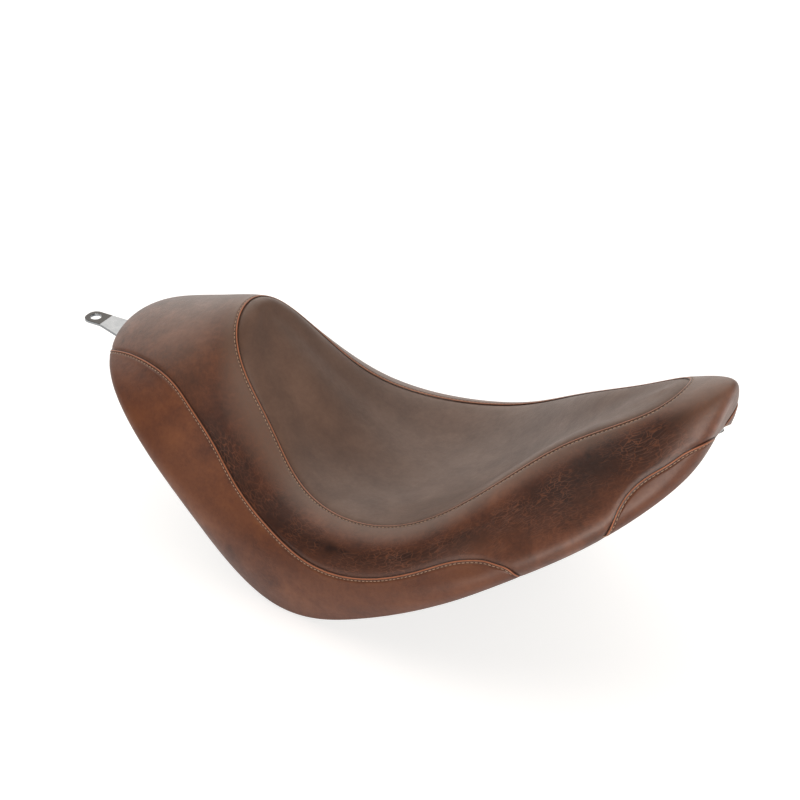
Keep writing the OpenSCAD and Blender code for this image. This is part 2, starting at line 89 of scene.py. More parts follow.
def net(rails):
    """Control points of the closed uniform cubic surface that passes close to the rails."""
    r = np.array(rails, float)
    r = np.concatenate([r, r[:, -2:0:-1] * [1, -1, 1]], 1)
    r = r - (np.roll(r, 1, 1) - 2 * r + np.roll(r, -1, 1)) / 6

    def ended(rows):
        return np.concatenate([rows[1:2] * [1, -1, 1], rows, 2 * rows[-1:] - rows[-2:-1]])

    rows = ended(r)
    return ended(rows[1:-1] - (rows[:-2] - 2 * rows[1:-1] + rows[2:]) / 6)


def halfway(a, b, sag=0):
    m = (np.array(a, float) + np.array(b, float)) / 2
    m[:, 2] -= sag
    return m


def inset(rail, d):
    """The rail moved inwards in plan."""
    r = np.array(rail, float)
    whole = np.concatenate([r, r[-2:0:-1] * [1, -1, 1]])
    along = np.roll(whole, -1, 0) - np.roll(whole, 1, 0)
    along /= np.hypot(along[:, 0], along[:, 1])[:, None]
    out = whole + d * np.stack([along[:, 1], -along[:, 0], 0 * along[:, 0]], 1)
    return out[:len(r)]


COVER = net([SPINE, halfway(SPINE, SEAM, DISH), SEAM, SHOULDER, FLANK, RIM])
PAN = net([PAN_SPINE, halfway(PAN_SPINE, PAN_FLOOR), PAN_FLOOR, PAN_SIDE, inset(RIM, PAN_INSET_MM)])


def weights(f):
    """The four uniform cubic B-spline weights at a fraction of a span."""
    return np.stack([(1 - f) ** 3, 3 * f ** 3 - 6 * f * f + 4,
                     -3 * f ** 3 + 3 * f * f + 3 * f + 1, f ** 3]) / 6


def surface(mesh, t, v):
    """Points of the cover or the pan at (t, v)."""
    t, v = np.broadcast_arrays(np.asarray(t, float), np.asarray(v, float))
    i = np.floor(t).astype(int)
    k = np.clip(np.floor(v).astype(int), 0, len(mesh) - 4)
    across, around = weights(v - k), weights(t - i)
    out = 0
    for a in range(4):
        for b in range(4):
            out = out + mesh[k + a, (i + b - 1) % ROUND] * (across[a] * around[b])[..., None]
    return (out + MIDDLE_MM) * MM


def on_cover(path):
    """The places on the cover of a (t, v) path."""
    return surface(COVER, path[:, 0], path[:, 1])


def unit(a):
    return a / np.maximum(np.linalg.norm(a, axis=-1, keepdims=True), 1e-12)


def slopes(mesh, t, v, e=0.02):
    w = np.maximum(v, 2 * e)
    dt = (surface(mesh, t + e, w) - surface(mesh, t - e, w)) / (2 * e)
    dv = (surface(mesh, t, w + e) - surface(mesh, t, w - e)) / (2 * e)
    return dt, dv


def normal(mesh, t, v):
    dt, dv = slopes(mesh, t, v)
    return unit(np.cross(dt, dv))


def arc(points):
    """Distance along a line of points, from its first point."""
    return np.r_[0, np.cumsum(np.linalg.norm(np.diff(points, axis=0), axis=1))]


def even(path, count):
    """The (t, v) path again, with points evenly spaced along the cover."""
    s = arc(on_cover(path))
    q = np.linspace(0, s[-1], count)
    return np.stack([np.interp(q, s, path[:, 0]), np.interp(q, s, path[:, 1])], 1)


def spline(points, lowest, highest, count=3000):
    """A smooth (t, v) path through the points, kept between two stations."""
    p = np.array(points, float)
    s = arc(on_cover(p))
    n, h = len(p), np.diff(s)
    lhs, rhs = np.eye(n), np.zeros((n, 2))
    for i in range(1, n - 1):
        lhs[i, i - 1:i + 2] = h[i - 1], 2 * (h[i - 1] + h[i]), h[i]
        rhs[i] = 6 * ((p[i + 1] - p[i]) / h[i] - (p[i] - p[i - 1]) / h[i - 1])
    m = np.linalg.solve(lhs, rhs)
    q = np.linspace(0, s[-1], 4 * count)
    i = np.clip(np.searchsorted(s, q) - 1, 0, n - 2)
    a, b, w = (s[i + 1] - q)[:, None], (q - s[i])[:, None], h[i][:, None]
    path = (m[i] * a ** 3 + m[i + 1] * b ** 3) / (6 * w) + (p[i] / w - m[i] * w / 6) * a \
        + (p[i + 1] / w - m[i + 1] * w / 6) * b
    path = path[(path[:, 0] >= lowest) & (path[:, 0] <= highest) & (path[:, 1] <= RIM_V)]
    path[0, 0], path[-1, 0] = lowest, highest
    return even(path, count)


def mirrored(path):
    """The other side's path, walked in the same direction round the seat."""
    return np.stack([ROUND - path[::-1, 0], path[::-1, 1]], 1)


def both_sides(path):
    """A half path from the rear centre to the nose centre, continued round the other side."""
    return np.concatenate([path, mirrored(path)[1:-1]])


def centre_v(t):
    """The centre seam follows its rail, and lies a little inside it on the face of the rear bolster."""
    return CENTRE_V - BOW_V * np.exp(-((t - BOW_T) / BOW_WIDTH) ** 2)


def rim_between(start, end, count):
    """A path along the rim between two stations."""
    return np.stack([np.linspace(start, end, count), np.full(count, RIM_V)], 1)


DENSE, SHORT = 3000, 200
skirt_path = spline(SKIRT_SEAM, 0, SKIRT_SEAM[-1][0], DENSE)
nose_path = spline(NOSE_SEAM, NOSE_SEAM[0][0], NOSE_SEAM[-1][0], DENSE)
skirt_path[-1, 1] = nose_path[0, 1] = nose_path[-1, 1] = RIM_V
half_t = np.linspace(0, HALF, DENSE)
centre_path = even(np.stack([half_t, centre_v(half_t)], 1), DENSE)
rim_path = even(rim_between(0, HALF, DENSE), DENSE)
rear_join = np.stack([np.zeros(SHORT), np.linspace(skirt_path[0, 1], RIM_V, SHORT)], 1)


class Line:
    """A line on the cover that knows how far any point is from it."""

    def __init__(self, path):
        self.points = on_cover(path)
        self.tree = KDTree(len(self.points))
        for i, p in enumerate(self.points):
            self.tree.insert(p, i)
        self.tree.balance()

    def distance_mm(self, points):
        flat = points.reshape(-1, 3)
        near = np.array([self.tree.find(p)[1] for p in flat])
        best = np.full(len(flat), 1e9)
        for step in (-1, 0):
            a = self.points[np.clip(near + step, 0, len(self.points) - 2)]
            b = self.points[np.clip(near + step, 0, len(self.points) - 2) + 1]
            d = b - a
            f = np.clip(((flat - a) * d).sum(1) / np.maximum((d * d).sum(1), 1e-18), 0, 1)
            best = np.minimum(best, np.linalg.norm(flat - a - f[:, None] * d, axis=1))
        return best.reshape(points.shape[:-1]) / MM


LINES = {"centre": Line(centre_path), "skirt": Line(skirt_path), "nose": Line(nose_path),
         "rim": Line(rim_path), "rear_join": Line(rear_join)}

# ---- How the leather stands at its seams, in mm against the distance from the seam ----

FOLD_R, FOLD_RISE, FOLD_DROP = 1.3, 0.9, 1.8
STITCH_AT, STITCH_SINK = 3.3, 0.9
CROWN_MM, CROWN_REACH = 1.3, 20.0
# Radius of a panel's rolled edge at the rim, and of an edge that is only cut
ROLL_R, CUT_R = 3.2, 0.4
THICK_MM = 1.7
# Seams flatten, and the painted sheen and shade towards the rim fade, over these distances from the rim
SEAM_FADE, RIM_SHEEN_SHADE_FADE = 5.0, 22
# Painted marks by a seam, the pale lip and painted shade in its grooves: (distance from it, width at full
# strength on each side, fade, strength)
LIP_MARK = (1.0, 0.3, 0.5, 1.0)
SEAM_SHADE_MARKS = {"over": [(0, 0, 0.4, 1.0), (2.3, 0, 0.55, 0.85), (STITCH_AT, 0, 0.8, 0.6)],
              "under": [(0, 0, 0.9, 1.0)],
              "join": [(0, 0, 0.9, 1.0)]}


def over_seam(d):
    """The folded upper layer: a rounded lip at the seam and a furrow where the stitches pull it down."""
    x = np.clip(1 - d / FOLD_R, 0, 1)
    fold = -FOLD_DROP * (1 - np.sqrt(1 - x * x))
    furrow = STITCH_SINK * np.exp(-((d - STITCH_AT) / 0.9) ** 2)
    return fold + FOLD_RISE * np.exp(-(d / 7) ** 2) - furrow


def under_seam(d):
    """The lower layer, which dips to pass under the fold."""
    return (FOLD_RISE - FOLD_DROP) * np.exp(-(d / 3.0) ** 2)


def join(d):
    """Two edges sewn face to face."""
    return -1.3 * np.exp(-(d / 1.6) ** 2)


def mark(d, at, flat, fade, strength):
    return strength * np.exp(-(np.maximum(np.abs(d - at) - flat, 0) / fade) ** 2)


PROFILES = {"over": over_seam, "under": under_seam, "join": join}
# Spacing of a panel's rows: closely by its edges, and even between them
FINE = np.array([0, 0.12, 0.3, 0.55, 0.85, 1.2, 1.7, 2.2, 2.7, 3.2, 3.7, 4.3, 5.2, 6.4, 8.0]) * MM
COARSE_ROW, COLUMN = 2.2 * MM, 1.8 * MM


def running(grid):
    """Distance along every row of a grid of points, from the row's first point."""
    steps = np.linalg.norm(np.diff(grid, axis=1), axis=2)
    return np.concatenate([np.zeros((len(grid), 1)), np.cumsum(steps, 1)], 1)


def loft(top, bottom, closed_top=True):
    """(t, v) grid between two paths, with closely spaced rows by both edges."""
    w = np.linspace(0, 1, 120)
    grid = top[:, None] * (1 - w)[None, :, None] + bottom[:, None] * w[None, :, None]
    s = running(surface(COVER, grid[..., 0], grid[..., 1]))
    length = s[:, -1]
    inner = max(3, int((length.max() - 2 * FINE[-1]) / COARSE_ROW))
    squeeze = np.minimum(1, length / (3 * FINE[-1]))[:, None]
    first = FINE[None] * squeeze if closed_top else np.zeros((len(top), 1))
    last = length[:, None] - FINE[None, ::-1] * squeeze
    f = np.linspace(0, 1, inner + 2)[1:-1]
    middle = first[:, -1:] * (1 - f) + last[:, :1] * f
    rows = np.concatenate([first, middle, last], 1)
    ww = np.stack([np.interp(r, si, w) for r, si in zip(rows, s)])[..., None]
    return top[:, None] * (1 - ww) + bottom[:, None] * ww


def smooth_stations(t, s, width):
    """The stations t along a path, evened out over about the given width, with both ends kept."""
    step = s[1] - s[0]
    k = int(3 * width / step)
    kernel = np.exp(-0.5 * (np.arange(-k, k + 1) * step / width) ** 2)
    kernel /= kernel.sum()
    padded = np.concatenate([2 * t[0] - t[k:0:-1], t, 2 * t[-1] - t[-2:-k - 2:-1]])
    return np.convolve(padded, kernel, "valid")


def add_mesh(name, verts, faces, material, extra=None, weld=0.0):
    """A smooth piece on the seat's one body, with the extra values kept on its vertices."""
    mesh = bpy.data.meshes.new(name)
    mesh.from_pydata(np.asarray(verts).tolist(), [], faces)
    for key, values in (extra or {}).items():
        values = np.asarray(values, np.float32)
        kind = "FLOAT" if values.ndim == 1 else "FLOAT_VECTOR"
        mesh.attributes.new(key, kind, "POINT").data.foreach_set(
            "value" if kind == "FLOAT" else "vector", values.ravel())
    obj = bpy.data.objects.new(name, mesh)
    bpy.context.scene.collection.objects.link(obj)
    bm = bmesh.new()
    bm.from_mesh(mesh)
    if weld:
        bmesh.ops.remove_doubles(bm, verts=bm.verts, dist=weld)
        bmesh.ops.dissolve_degenerate(bm, dist=weld / 4, edges=bm.edges)
    bmesh.ops.recalc_face_normals(bm, faces=bm.faces)
    bm.to_mesh(mesh)
    bm.free()
    mesh.polygons.foreach_set("use_smooth", [True] * len(mesh.polygons))
    mesh.update()
    obj.data.materials.append(material)
    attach(obj, "root")
    return obj


def grid_faces(n, m, wrap_n, wrap_m, start=0):
    """Quads over an n by m grid of vertices."""
    i, j = np.meshgrid(np.arange(n if wrap_n else n - 1), np.arange(m if wrap_m else m - 1), indexing="ij")
    a = start + i * m + j
    b = start + ((i + 1) % n) * m + j
    c = start + ((i + 1) % n) * m + (j + 1) % m
    d = start + i * m + (j + 1) % m
    return np.stack([a, b, c, d], -1).reshape(-1, 4).tolist()


panels = {}
WELD = 0.02 * MM


def leather_panel(name, top, bottom, seams, material, replaces, closed=False, spine=False,
                  roll=None, mirror=False):
    """One closed leather piece lofted between two (t, v) paths: outer face, lower edge and inner face."""
    grid = loft(top, bottom, closed_top=not spine)
    t, v = grid[..., 0], grid[..., 1]
    base, up = surface(COVER, t, v), normal(COVER, t, v)
    measured = np.where((t > HALF)[..., None], base * [1, -1, 1], base)
    rim_d = LINES["rim"].distance_mm(measured)
    lip, groove, height = 0 * t, 0 * t, 0 * t
    nearest = np.full(t.shape, 1e3)
    for line, kind in seams:
        d = LINES[line].distance_mm(measured)
        # seams flatten where they run out over the pan's edge
        height = height + PROFILES[kind](d) * (np.clip(rim_d / SEAM_FADE, 0, 1) if kind != "join" else 1)
        nearest = np.minimum(nearest, d)
        # painted shade in the seam's valley, beside its fold and in the stitch furrow
        for shade_mark in SEAM_SHADE_MARKS[kind]:
            groove = np.maximum(groove, mark(d, *shade_mark))
        if kind == "over":
            lip = np.maximum(lip, mark(d, *LIP_MARK))
    height += CROWN_MM * (1 - np.exp(-np.minimum(nearest, rim_d + 6) / CROWN_REACH))
    outer = base + up * height[..., None] * MM
    if spine:
        outer[:, 0, 1] = 0
    u = arc(on_cover(bottom if spine else top))
    if closed:
        # the shorter way round, so that the creases have no step where the loop closes
        u = np.minimum(u, u[-1] + np.linalg.norm(base[0, -1] - base[-1, -1]) - u)
    flow = np.stack([np.broadcast_to(u[:, None], t.shape), running(base), 0 * t], -1)

    # the lower edge curls inwards
    radius = np.full(len(t), CUT_R) if roll is None else roll
    _, down = slopes(COVER, t[:, -1], v[:, -1])
    down = unit(down)
    turn = np.radians(np.linspace(0, 125, 9))[1:]
    r = (radius * MM)[:, None, None]
    curl = outer[:, -1:, :] - r * up[:, -1:] + r * (np.cos(turn)[None, :, None] * up[:, -1:]
                                                    + np.sin(turn)[None, :, None] * down[:, None])
    rows = np.unique(np.linspace(0, t.shape[1] - 1, 14).astype(int))[::-1]
    rows = rows[1:] if roll is not None else rows
    inner = base[:, rows] - up[:, rows] * THICK_MM * MM
    if spine:
        inner[:, -1, 1] = 0
    verts = np.concatenate([outer, curl, inner], 1)
    n, m = verts.shape[:2]
    keep = np.r_[np.arange(t.shape[1]), np.full(len(turn), t.shape[1] - 1), rows]
    values = {"lip": lip, "groove": groove, "flow": flow, "low": np.exp(-rim_d / RIM_SHEEN_SHADE_FADE), "vv": v,
              "tt": np.where(t > HALF, ROUND - t, t)}
    extra = {key: a[:, keep].reshape(n * m, *a.shape[2:]) for key, a in values.items()}
    verts = verts.reshape(-1, 3)
    faces = grid_faces(n, m, closed, not spine)
    if not closed:
        faces += [list(range(m)), list(range((n - 1) * m, n * m))[::-1]]
    if mirror:
        verts = verts * [1, -1, 1]
    obj = add_mesh(name, verts, faces, material, extra=extra, weld=WELD)
    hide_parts(*replaces)
    panels[name] = obj


# ---- Materials ----


def linear(c):
    return c / 255 / 12.92 if c <= 10 else ((c / 255 + 0.055) / 1.055) ** 2.4


def rgb(r, g, b):
    """Linear colour of the given 0 to 255 screen values."""
    return linear(r), linear(g), linear(b), 1.0


class Shader:
    """A Principled material with short ways to add procedural nodes."""

    def __init__(self, name, **settings):
        self.mat = bpy.data.materials.new(name)
        self.mat.use_nodes = True
        self.nodes, self.links = self.mat.node_tree.nodes, self.mat.node_tree.links
        self.out = self.nodes["Principled BSDF"]
        self.place = self.put("ShaderNodeTexCoord").outputs["Object"]
        for key, value in settings.items():
            self.out.inputs[key.replace("_", " ")].default_value = value

    def feed(self, socket, value):
        if isinstance(value, bpy.types.NodeSocket):
            self.links.new(value, socket)
        else:
            socket.default_value = value

    def put(self, kind, inputs=None, **props):
        n = self.nodes.new(kind)
        for key, value in props.items():
            setattr(n, key, value)
        for key, value in (inputs or {}).items():
            self.feed(n.inputs[key], value)
        return n

    def math(self, op, a, b, clamp=False):
        return self.put("ShaderNodeMath", {0: a, 1: b}, operation=op, use_clamp=clamp).outputs[0]

    def noise(self, scale, detail=3.0, rough=0.55, vector=None, low=0.3, high=0.7, distortion=0.0):
        n = self.put("ShaderNodeTexNoise", {"Vector": vector or self.place, "Scale": scale, "Detail": detail,
                                            "Roughness": rough, "Distortion": distortion})
        return self.span(n.outputs[0], low, high)

    def span(self, value, low, high, to_low=0.0, to_high=1.0):
        return self.put("ShaderNodeMapRange", {"Value": value, "From Min": low, "From Max": high,
                                               "To Min": to_low, "To Max": to_high}).outputs[0]

    def attribute(self, name, vector=False):
        return self.put("ShaderNodeAttribute", attribute_name=name).outputs["Vector" if vector else "Fac"]

    def scaled(self, vector, factors):
        return self.put("ShaderNodeVectorMath", {0: vector, 1: factors}, operation="MULTIPLY").outputs[0]

    def cells(self, scale, vector=None, feature="DISTANCE_TO_EDGE", jitter=1.0):
        return self.put("ShaderNodeTexVoronoi", {"Vector": vector or self.place, "Scale": scale,
                                                 "Randomness": jitter}, feature=feature).outputs["Distance"]

    def mix(self, factor, a, b, blend="MIX"):
        n = self.put("ShaderNodeMix", data_type="RGBA", blend_type=blend)
        self.feed(n.inputs[0], factor)
        self.feed(n.inputs[6], a)
        self.feed(n.inputs[7], b)
        return n.outputs[2]

    def ramp(self, factor, *stops):
        n = self.put("ShaderNodeValToRGB", {"Fac": factor})
        band = n.color_ramp
        while len(band.elements) < len(stops):
            band.elements.new(0.5)
        for element, (position, colour) in zip(band.elements, stops):
            element.position, element.color = position, colour
        return n.outputs[0]

    def bump(self, height, distance_mm, strength=1.0, below=None):
        inputs = {"Height": height, "Distance": distance_mm * MM, "Strength": strength}
        if below is not None:
            inputs["Normal"] = below
        return self.put("ShaderNodeBump", inputs).outputs[0]

    def finish(self, colour=None, rough=None, bump=None):
        if colour is not None:
            self.feed(self.out.inputs["Base Color"], colour)
        if rough is not None:
            self.feed(self.out.inputs["Roughness"], rough)
        if bump is not None:
            self.feed(self.out.inputs["Normal"], bump)
        return self.mat


# The fold's paler lip, near-black painted shade for the seams, and a pale painted sheen
LIP, SEAM_SHADE, PAINTED_SHEEN = rgb(168, 102, 68), rgb(34, 18, 12), rgb(100, 78, 66)
# Where the dark belt of painted shade comes in and goes out round the seat, in t
SHADE_BELT_REAR_T, SHADE_BELT_NOSE_T = (1.4, 2.4), (9.6, 8.9)
# Where a pale sheen is painted on the cover: by the centre seam, and between these v and t at the rear and
# the nose
SHEEN_SEAM_V, SHEEN_ENDS_V = (2.55, 2.15), (3.9, 3.0)
SHEEN_REAR_T, SHEEN_NOSE_T = (2.1, 1.1), (8.7, 9.4)
SHEEN_REAR, SHEEN_NOSE = 0.5, 0.9
# Crease cells in each metre, along and across the panel, and how far they wander
CREASES, WANDER = (150, 330, 0), (3.0, 3.0, 0)


def leather(name, dark, body, light, edge, rim_sheen_and_shade, rough, crease, shade_belt_v, shade_belt_strength, wax, sheen_strength):
    """Waxed full-grain leather: cloudy tone, pores, fine creases along the panel, and an edge colour painted
    in towards the rim, as sheen where it is paler and as shade where it is darker.

    The belt's three v values say where a darker belt along the panel starts, is full and has gone again:
    partly darker leather, partly painted shade where the side faces away from the light.
    """
    s = Shader(name, IOR=1.45, Specular_IOR_Level=0.5, Coat_Weight=wax, Coat_Roughness=0.34)
    flow = s.attribute("flow", vector=True)
    cloud = s.noise(9, 3, 0.5, low=0.32, high=0.68)
    patch = s.noise(38, 5, 0.6, low=0.3, high=0.7, distortion=0.4)
    speck = s.noise(210, 4, 0.65, low=0.25, high=0.75)
    tone = s.math("ADD", s.math("MULTIPLY", cloud, 0.4), s.math("MULTIPLY", patch, 0.36))
    tone = s.math("ADD", tone, s.math("MULTIPLY", speck, 0.24))
    colour = s.ramp(tone, (0.18, dark), (0.5, body), (0.82, light))

    # the belt, painted shade in part, which fades out at the rear and at the nose
    v = s.attribute("vv")
    t = s.attribute("tt")
    start, full, gone = shade_belt_v
    shade_belt = s.math("MULTIPLY", s.span(v, start, full), s.span(v, gone, full + 0.02))
    shade_belt = s.math("MULTIPLY", shade_belt, s.span(patch, 0.05, 0.8, 0.5, 1.0))
    shade_belt = s.math("MULTIPLY", shade_belt, shade_belt_strength, clamp=True)
    round_seat = s.math("MULTIPLY", s.span(t, *SHADE_BELT_REAR_T), s.span(t, *SHADE_BELT_NOSE_T))
    shade_belt = s.math("MULTIPLY", shade_belt, round_seat)
    colour = s.mix(shade_belt, colour, dark)

    # painted sheen: paler next to the centre seam, over the rear and on the nose, where those faces catch
    # the light
    rear = s.span(t, *SHEEN_REAR_T, 0.0, SHEEN_REAR)
    nose = s.span(t, *SHEEN_NOSE_T, 0.0, SHEEN_NOSE)
    ends = s.math("MULTIPLY", s.math("ADD", rear, nose), s.span(v, *SHEEN_ENDS_V))
    sheen = s.math("MAXIMUM", s.span(v, *SHEEN_SEAM_V), ends)
    colour = s.mix(s.math("MULTIPLY", sheen, sheen_strength), colour, PAINTED_SHEEN)

    # creases: long narrow cells that follow the panel, opened only here and there
    wander = s.put("ShaderNodeTexNoise", {"Vector": s.place, "Scale": 55.0, "Detail": 2.0}).outputs[1]
    bent = s.put("ShaderNodeVectorMath", {0: s.scaled(flow, CREASES), 1: s.scaled(wander, WANDER)},
                 operation="ADD").outputs[0]
    crack = s.span(s.cells(1.0, bent), 0.0, 0.09, 1.0, 0.0)
    in_shade_belt = s.math("ADD", s.math("MULTIPLY", shade_belt, 0.7), 0.4)
    where = s.math("MULTIPLY", s.noise(24, 3, 0.6, low=0.36, high=0.6), in_shade_belt)
    crack = s.math("MULTIPLY", s.math("MULTIPLY", crack, where), crease, clamp=True)
    colour = s.mix(s.math("MULTIPLY", crack, 0.7), colour, light)

    # painted light towards the rim (sheen on the band, shade on the skirts), a paler lip on the folds,
    # painted shade in the seams
    low = s.math("MULTIPLY", s.attribute("low"), s.span(patch, 0.0, 1.0, 0.35, 1.0))
    colour = s.mix(s.math("MULTIPLY", low, rim_sheen_and_shade), colour, edge)
    lip = s.math("MULTIPLY", s.attribute("lip"), s.span(speck, 0.0, 0.9, 0.6, 1.0))
    colour = s.mix(lip, colour, LIP)
    colour = s.mix(s.math("MULTIPLY", s.attribute("groove"), 0.85), colour, SEAM_SHADE)

    grain = s.span(s.cells(980.0), 0.0, 0.35)
    pores = s.noise(1500, 2, 0.6)
    soft = s.noise(130, 3, 0.5)
    height = s.math("ADD", s.math("MULTIPLY", grain, 0.55), s.math("MULTIPLY", pores, 0.3))
    bump = s.bump(height, 0.07, 0.9)
    bump = s.bump(soft, 0.22, 0.6, bump)
    bump = s.bump(s.math("SUBTRACT", 1.0, crack), 0.12, 0.8, bump)
    uneven = s.math("ADD", s.math("MULTIPLY", patch, 0.6), s.math("MULTIPLY", speck, 0.4))
    return s.finish(colour, s.span(uneven, 0, 1, rough + 0.07, rough - 0.06), bump)


# The edge colours paint light towards the rim: a paler sheen on the band, darker shade on the skirts where
# the rim nears the floor
centre_leather = leather(
    "leather_centre", dark=rgb(76, 54, 43), body=rgb(88, 64, 51), light=rgb(99, 74, 60),
    edge=rgb(96, 66, 50), rim_sheen_and_shade=0.1, rough=0.45, crease=0.1, shade_belt_v=(1.0, 1.3, 2.0), shade_belt_strength=0.0,
    wax=0.1, sheen_strength=0.0)
band_leather = leather(
    "leather_band", dark=rgb(30, 10, 4), body=rgb(80, 43, 27), light=rgb(116, 69, 46),
    edge=rgb(138, 98, 80), rim_sheen_and_shade=0.55, rough=0.38, crease=1.0, shade_belt_v=(2.35, 2.8, 3.9), shade_belt_strength=1.0,
    wax=0.25, sheen_strength=0.8)
skirt_leather = leather(
    "leather_skirt", dark=rgb(66, 32, 18), body=rgb(96, 54, 32), light=rgb(120, 73, 45),
    edge=rgb(84, 41, 22), rim_sheen_and_shade=0.65, rough=0.44, crease=0.6, shade_belt_v=(3.0, 3.6, 4.3), shade_belt_strength=0.4,
    wax=0.3, sheen_strength=0.0)


def thread_material():
    """Waxed thread with a twist, with painted shade where it dives into the leather."""
    s = Shader("thread", IOR=1.5)
    along = s.scaled(s.attribute("flow", True), (1.0, 1.0, 0.0))
    ply = s.put("ShaderNodeTexWave", {"Vector": along, "Scale": 330.0, "Distortion": 0.6},
                bands_direction="DIAGONAL").outputs[1]
    fibre = s.noise(1800, 2, 0.6)
    colour = s.mix(s.math("MULTIPLY", fibre, 0.6), rgb(182, 152, 128), rgb(138, 104, 80))
    # painted shade at each stitch's ends, where the thread sinks into its hole
    colour = s.mix(s.attribute("dive"), colour, rgb(70, 36, 22))
    return s.finish(colour, s.span(fibre, 0, 1, 0.5, 0.72), s.bump(s.math("ADD", ply, fibre), 0.06, 0.8))


def plain_material(name, dark, light, rough, scale, distance_mm, metal=0.0):
    """Moulded, coated or cast stock: two tones, uneven gloss and a fine surface texture."""
    s = Shader(name, Metallic=metal)
    broad, small = s.noise(scale, 4, 0.6), s.noise(900, 3, 0.6)
    colour = s.mix(s.math("MULTIPLY", s.math("ADD", broad, small), 0.5), dark, light)
    return s.finish(colour, s.span(broad, 0, 1, rough - 0.07, rough + 0.08), s.bump(small, distance_mm, 0.7))


# The rear tab's flat end starts here, and a face that looks up this squarely is its upper face
TAB_BEND, LEVEL = -362 * MM, 0.9


def polished_steel():
    """Bright-plated strap with fine draw lines along it and a little tarnish."""
    s = Shader("chrome_tab", Metallic=1.0)
    lines = s.noise(1.0, 3, 0.6, vector=s.scaled(s.place, (60, 1900, 1900)))
    stain = s.noise(90, 4, 0.6)
    colour = s.mix(s.math("MULTIPLY", stain, 0.6), rgb(170, 175, 180), rgb(146, 152, 158))
    # the flat end past the bend is black and not metallic on its upper face
    past_bend = s.math("LESS_THAN", s.put("ShaderNodeSeparateXYZ", {0: s.place}).outputs[0], TAB_BEND)
    faces = s.put("ShaderNodeNewGeometry").outputs["True Normal"]
    upward = s.put("ShaderNodeSeparateXYZ", {0: faces}).outputs[2]
    black_upper = s.math("MULTIPLY", past_bend, s.math("GREATER_THAN", upward, LEVEL))
    colour = s.mix(black_upper, colour, rgb(24, 24, 25))
    s.feed(s.out.inputs["Metallic"], s.math("SUBTRACT", 1.0, black_upper))
    return s.finish(colour, s.span(s.math("ADD", lines, stain), 0, 2, 0.1, 0.3), s.bump(lines, 0.012, 0.5))


def woven_vinyl():
    """Black pull strip: vinyl pressed with a small weave."""
    s = Shader("pull_strip")
    flow = s.attribute("flow", True)
    across = s.put("ShaderNodeTexWave", {"Vector": flow, "Scale": 190.0}, bands_direction="X").outputs[1]
    along = s.put("ShaderNodeTexWave", {"Vector": flow, "Scale": 190.0}, bands_direction="Y").outputs[1]
    weave = s.math("MULTIPLY", across, along)
    dust = s.noise(60, 4, 0.6)
    colour = s.mix(dust, rgb(26, 25, 25), rgb(50, 48, 46))
    return s.finish(colour, s.span(dust, 0, 1, 0.5, 0.68), s.bump(weave, 0.12, 0.8))


def open_foam():
    """Moulded foam: pale skin with small pits."""
    s = Shader("foam")
    pits = s.cells(420.0, feature="F1")
    tone = s.noise(30, 4, 0.6)
    colour = s.mix(tone, rgb(196, 190, 168), rgb(222, 216, 198))
    return s.finish(colour, s.span(tone, 0, 1, 0.85, 0.95), s.bump(pits, 0.3, 0.8))


thread = thread_material()
pan_plastic = plain_material("pan", rgb(24, 25, 26), rgb(44, 45, 46), 0.52, 40, 0.05)
pull_vinyl = woven_vinyl()
rubber = plain_material("bumpers", rgb(20, 20, 20), rgb(40, 39, 38), 0.68, 120, 0.05)
zinc = plain_material("zinc_hardware", rgb(150, 148, 140), rgb(192, 188, 172), 0.34, 160, 0.02, metal=1.0)
rivet_metal = plain_material("rivets", rgb(168, 170, 172), rgb(206, 208, 210), 0.3, 200, 0.02, metal=1.0)
foam_material = open_foam()
chrome = polished_steel()

# ---- The leather panels ----


# How widely a panel's far edge evens out the turns of its seam
BAND_EASE, SKIRT_EASE = 35 * MM, 25 * MM


def columns_for(path):
    return int(arc(on_cover(path))[-1] / COLUMN)


skirt_to_nose = np.concatenate([
    skirt_path,
    rim_between(skirt_path[-1, 0], nose_path[0, 0], 400)[1:-1],
    nose_path,
    rim_between(nose_path[-1, 0], HALF, 100)[1:]])


def half_band():
    """Matching top and lower paths of the side band, rear centre to nose centre."""
    n = columns_for(skirt_to_nose)
    lower = even(skirt_to_nose, n + 1)
    s = arc(on_cover(lower))
    upper_t = smooth_stations(lower[:, 0], s, BAND_EASE)
    upper_t[0], upper_t[-1] = 0, HALF
    return np.stack([upper_t, centre_v(upper_t)], 1), lower


def roll_radius(path):
    """The rim's roll in mm, fading out where a panel's lower edge leaves the rim."""
    fade = 0.12
    return CUT_R + (ROLL_R - CUT_R) * np.clip((path[:, 1] - RIM_V + fade) / fade, 0, 1) ** 2


band_top, band_low = half_band()
band_lower = both_sides(band_low)
leather_panel("side_band_leather", both_sides(band_top), band_lower,
              [("centre", "over"), ("skirt", "under"), ("nose", "under")], band_leather,
              ["side_band"], closed=True, roll=roll_radius(band_lower))

centre_half = even(centre_path, columns_for(centre_path) + 1)
centre_half[0, 0], centre_half[-1, 0] = 0, HALF
centre_low = both_sides(centre_half)
leather_panel("centre_panel_leather", centre_low * [1, 0], centre_low, [("centre", "under")],
              centre_leather, ["centre_panel"], closed=True, spine=True)


def skirt_pair(name, seam_path, seams):
    """The left and right skirts between a seam and the rim."""
    n = columns_for(seam_path)
    top = even(seam_path, n + 1)
    s = arc(on_cover(top))
    low_t = smooth_stations(top[:, 0], s, SKIRT_EASE)
    low_t[0], low_t[-1] = top[0, 0], top[-1, 0]
    low = np.stack([low_t, np.full(n + 1, RIM_V)], 1)
    for side, flip in (("left", False), ("right", True)):
        leather_panel(f"{name}_{side}_leather", top, low, seams, skirt_leather,
                      [f"{name}_{side}"], roll=np.full(n + 1, ROLL_R), mirror=flip)


